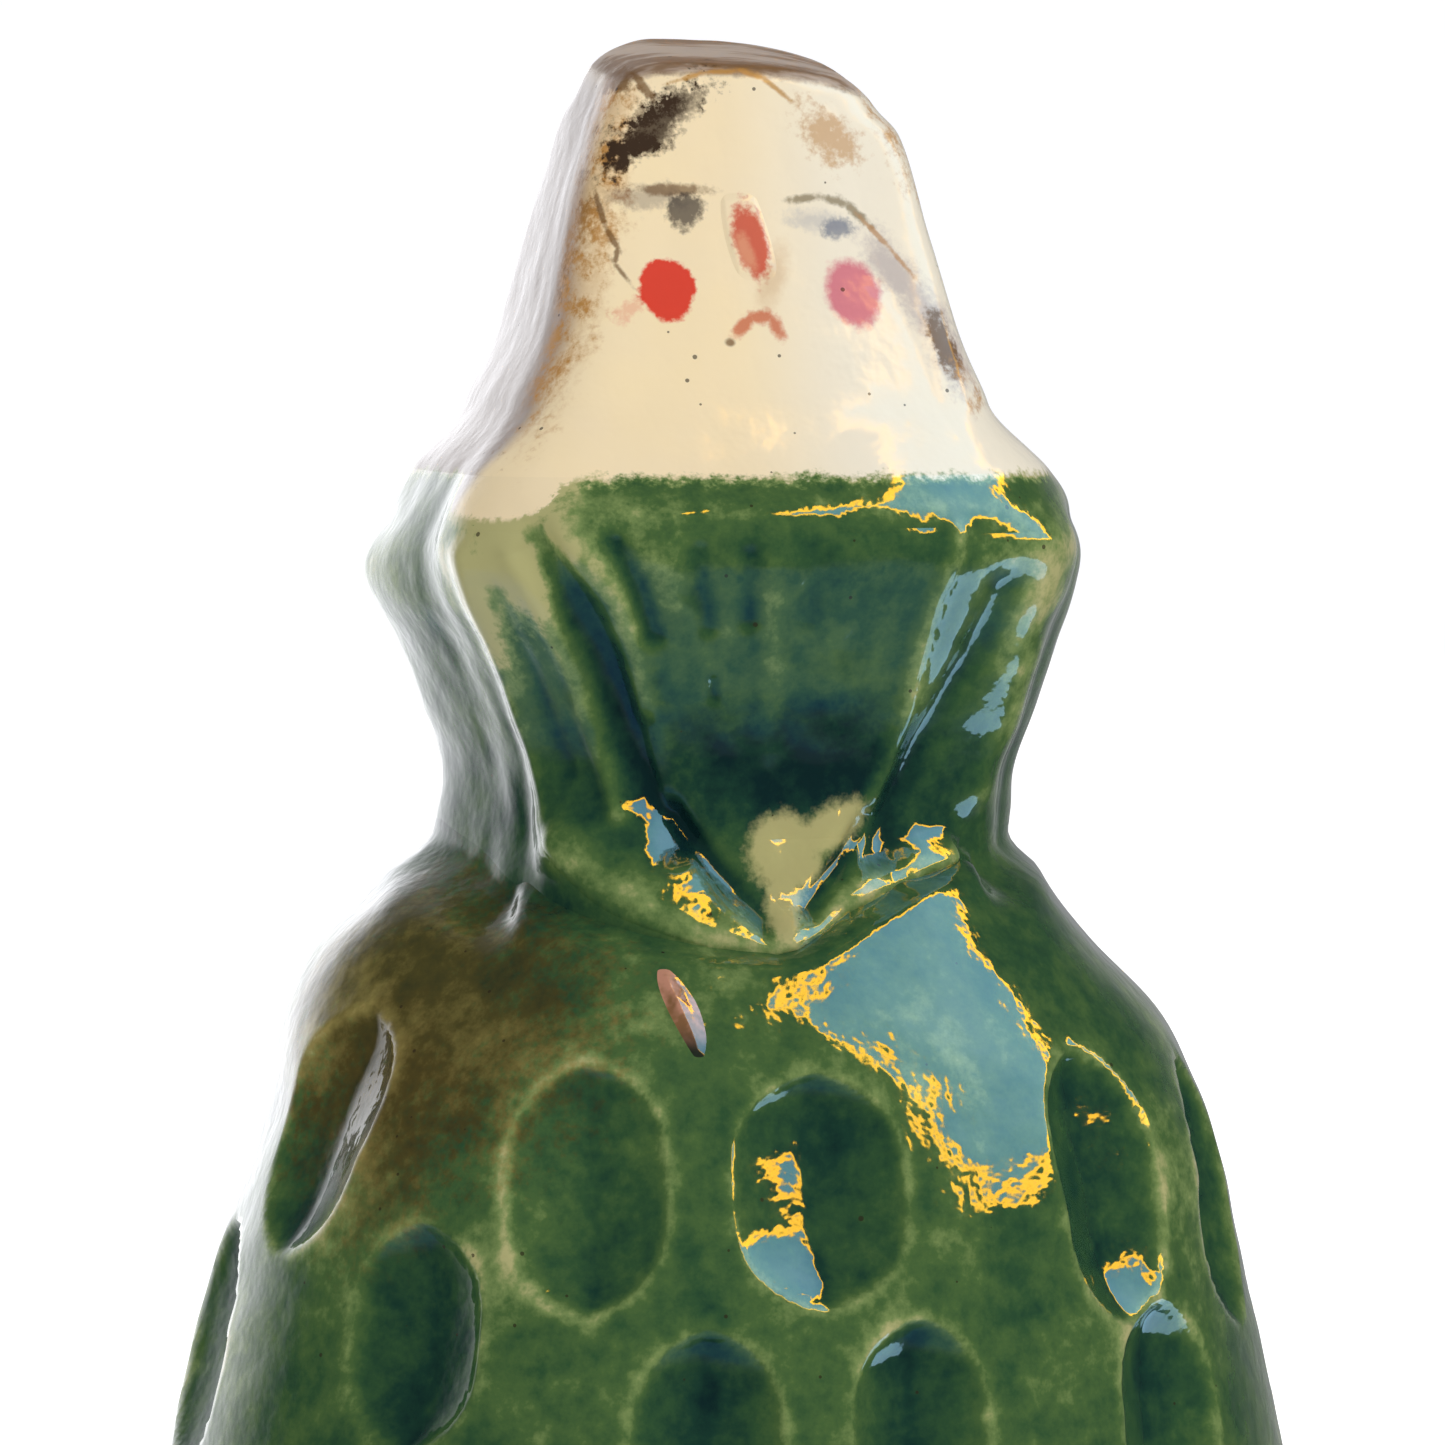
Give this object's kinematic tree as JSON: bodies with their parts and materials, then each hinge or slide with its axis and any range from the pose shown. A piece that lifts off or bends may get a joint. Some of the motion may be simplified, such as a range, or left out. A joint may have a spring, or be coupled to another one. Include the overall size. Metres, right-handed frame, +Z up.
{
  "type": "ceramic figurine",
  "caption": "Hand-built hollow ceramic figurine of a folk figure in a green glazed scarf and a long robe carved with scooped hollows, standing on a flat vented foot.",
  "frame": {"origin": "centre of the underside, on the surface that the figurine stands on", "axes": "+Z up along the figure, -Y the way the face looks, +X to the right of someone facing the figure"},
  "size_m": [0.056, 0.048, 0.09],
  "materials": {
    "robe_glaze": "thick copper-green gloss glaze, pooled dark in the hollows and thin on the edges",
    "scarf_glaze": "copper-green gloss glaze, lighter where it breaks over folds",
    "face_glaze": "glossy cream glaze over painted brown, grey and red",
    "nose_colour": "red underglaze under a clear gloss",
    "bare_clay": "matt unglazed fired clay"
  },
  "bodies": {
    "root": {"base_slab": "robe_glaze", "base_coil": "bare_clay", "robe_shell": "robe_glaze", "neck_tube": "bare_clay", "neck_coil": "bare_clay", "hood_shell": "scarf_glaze", "head_coil": "bare_clay", "head_block": "face_glaze", "nose": "nose_colour", "bib": "scarf_glaze", "chest_tab": "face_glaze", "scarf_band_left": "scarf_glaze", "scarf_band_right": "scarf_glaze", "scarf_tail": "face_glaze"}
  },
  "joints": []
}
